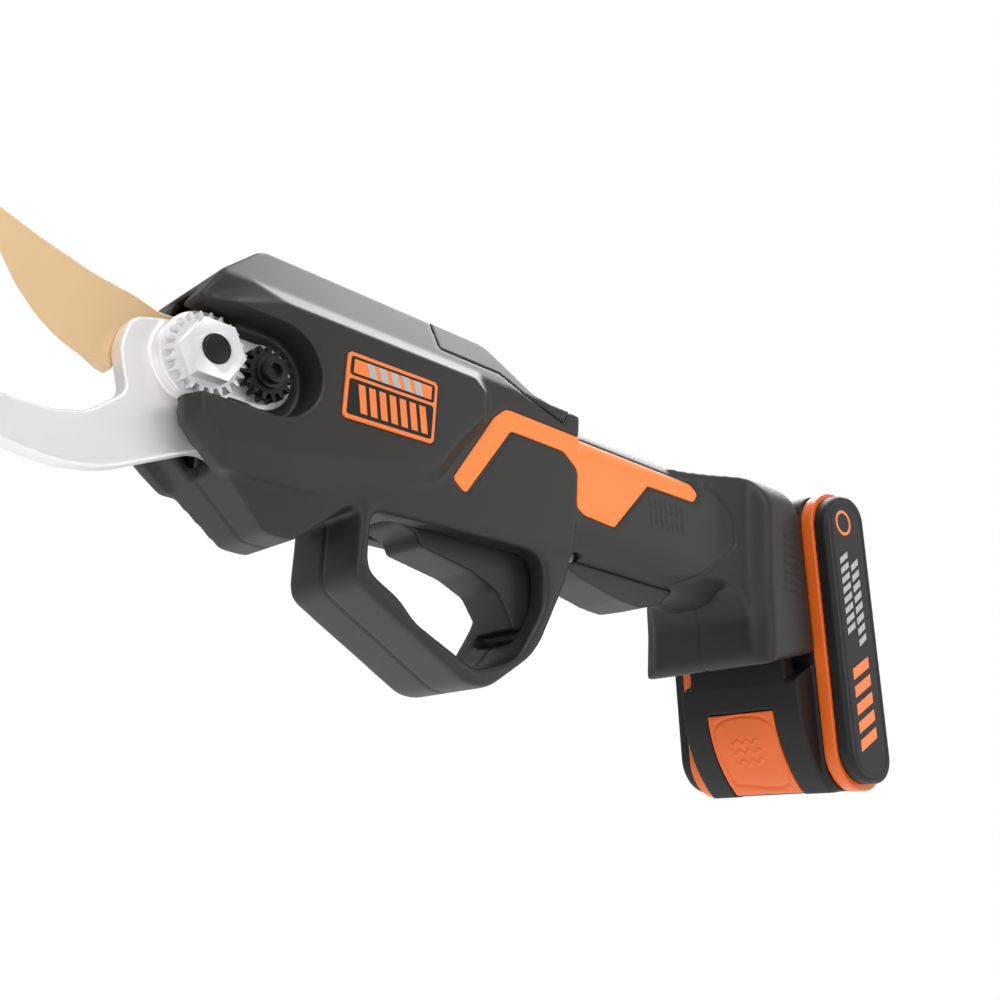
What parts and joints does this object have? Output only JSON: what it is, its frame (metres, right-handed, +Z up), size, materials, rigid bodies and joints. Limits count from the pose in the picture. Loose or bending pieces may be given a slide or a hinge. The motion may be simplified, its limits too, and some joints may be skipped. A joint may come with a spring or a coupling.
{
  "type": "battery electric pruner",
  "caption": "One-handed cordless pruning shear with a coated swinging blade, a fixed steel hook, a looped trigger guard and a slide-on battery pack.",
  "frame": {"origin": "centre of the underside of the whole tool's box, standing on the battery", "axes": "+X along the handle towards the blades, +Y to the tool's left, +Z up"},
  "size_m": [0.3438, 0.076, 0.1214],
  "materials": {
    "housing": "fine moulded grain",
    "housing_dark": "fine moulded grain",
    "orange": "satin",
    "deep_orange": "satin",
    "badge": "printed label",
    "gold_blade": "satin coated steel",
    "steel": "satin",
    "zinc": "zinc plated",
    "black_steel": "black oxide",
    "aluminium": "machined",
    "copper": "enamelled windings",
    "board": "solder mask",
    "brass": "turned",
    "lens": "clear green",
    "cell": "shrink sleeve"
  },
  "bodies": {
    "housing": {"button_board": "board", "control_board": "board", "gearbox": "steel", "head_frame": "aluminium", "hook_blade": "steel", "hook_screws": "zinc", "housing_screws": "black_steel", "left_badge": "badge", "left_shell": "housing", "left_trim": "orange", "lever_pin": "steel", "lever_spring": "steel", "lock_plate": "steel", "motor_can": "black_steel", "motor_stator": "copper", "pinion_screw": "black_steel", "pivot_bolt": "black_steel", "pivot_bush": "brass", "right_badge": "badge", "right_shell": "housing", "right_trim": "orange", "screw_bearing": "steel", "status_lens": "lens", "terminal_block": "housing_dark", "top_cover": "housing", "trigger_pin": "steel", "trigger_spring": "steel", "trigger_switch": "housing_dark"},
    "motor_rotor": {"motor_rotor": "steel"},
    "ball_screw": {"ball_screw": "steel"},
    "drive_nut": {"drive_nut": "steel", "nut_pin": "steel"},
    "moving_blade": {"moving_blade": "gold_blade", "tail_pin": "steel"},
    "drive_link": {"drive_link": "steel"},
    "adjuster_nut": {"adjuster_nut": "zinc"},
    "lock_pinion": {"lock_pinion": "black_steel"},
    "trigger": {"trigger": "housing"},
    "safety_lever": {"safety_lever": "housing"},
    "power_button": {"power_button": "deep_orange"},
    "battery": {"battery_case": "housing_dark", "battery_cells": "cell", "left_battery_ring": "deep_orange", "right_battery_ring": "deep_orange", "left_battery_panel": "housing_dark", "right_battery_panel": "housing_dark"},
    "release_button": {"release_button": "deep_orange"}
  },
  "joints": [
    {"name": "motor_spin", "type": "hinge", "parent": "housing", "child": "motor_rotor", "pos_m": [-0.062, 0, 0.0825], "axis": [1, 0, 0], "range_deg": [0, 4083.5]},
    {"name": "screw_spin", "type": "hinge", "parent": "housing", "child": "ball_screw", "pos_m": [0.013, 0, 0.0825], "axis": [1, 0, 0], "range_deg": [0, 1020.9]},
    {"name": "nut_slide", "type": "slide", "parent": "housing", "child": "drive_nut", "axis": [1, 0, 0], "range_m": [0, 0.01415]},
    {"name": "blade_swing", "type": "hinge", "parent": "housing", "child": "moving_blade", "pos_m": [0.0973, 0, 0.0825], "axis": [0, 1, 0], "range_deg": [0, 46.5]},
    {"name": "link_swing", "type": "hinge", "parent": "moving_blade", "child": "drive_link", "pos_m": [0.08373, -0.004, 0.09098], "axis": [0, 1, 0], "range_deg": [-68.6, 0]},
    {"name": "adjuster_turn", "type": "hinge", "parent": "housing", "child": "adjuster_nut", "pos_m": [0.0973, 0.014, 0.0825], "axis": [0, 1, 0], "range_deg": [-30, 30]},
    {"name": "pinion_turn", "type": "hinge", "parent": "housing", "child": "lock_pinion", "pos_m": [0.0802, 0.014, 0.0825], "axis": [0, 1, 0], "range_deg": [-46.5, 46.5]},
    {"name": "trigger_pull", "type": "hinge", "parent": "housing", "child": "trigger", "pos_m": [0.026, 0, 0.0602], "axis": [0, 1, 0], "range_deg": [0, 9], "stiffness_Nm_per_rad": 0.6, "springref_deg": -20.05, "deforming": ["trigger_spring"]},
    {"name": "lever_squeeze", "type": "hinge", "parent": "housing", "child": "safety_lever", "pos_m": [-0.038, 0, 0.0617], "axis": [0, 1, 0], "range_deg": [0, 5], "stiffness_Nm_per_rad": 0.5, "springref_deg": -20.05, "deforming": ["lever_spring"]},
    {"name": "power_press", "type": "slide", "parent": "housing", "child": "power_button", "axis": [0, 0, -1], "range_m": [0, 0.0008], "stiffness_N_per_m": 400, "springref_m": -0.001},
    {"name": "battery_release", "type": "slide", "parent": "housing", "child": "battery", "axis": [-0.134, 0, -0.991], "range_m": [0, 0.06]},
    {"name": "release_press", "type": "slide", "parent": "battery", "child": "release_button", "axis": [-0.991, 0, 0.134], "range_m": [0, 0.0025], "stiffness_N_per_m": 500, "springref_m": -0.002}
  ],
  "couplings": [
    {"joint": "motor_spin", "follows": "nut_slide", "rad_per_m": 5026.6},
    {"joint": "screw_spin", "follows": "nut_slide", "rad_per_m": 1256.7},
    {"joint": "blade_swing", "follows": "nut_slide", "rad_per_m": 56.738},
    {"joint": "link_swing", "follows": "nut_slide", "rad_per_m": -83.422},
    {"joint": "pinion_turn", "follows": "adjuster_turn", "ratio": -1.5333}
  ]
}
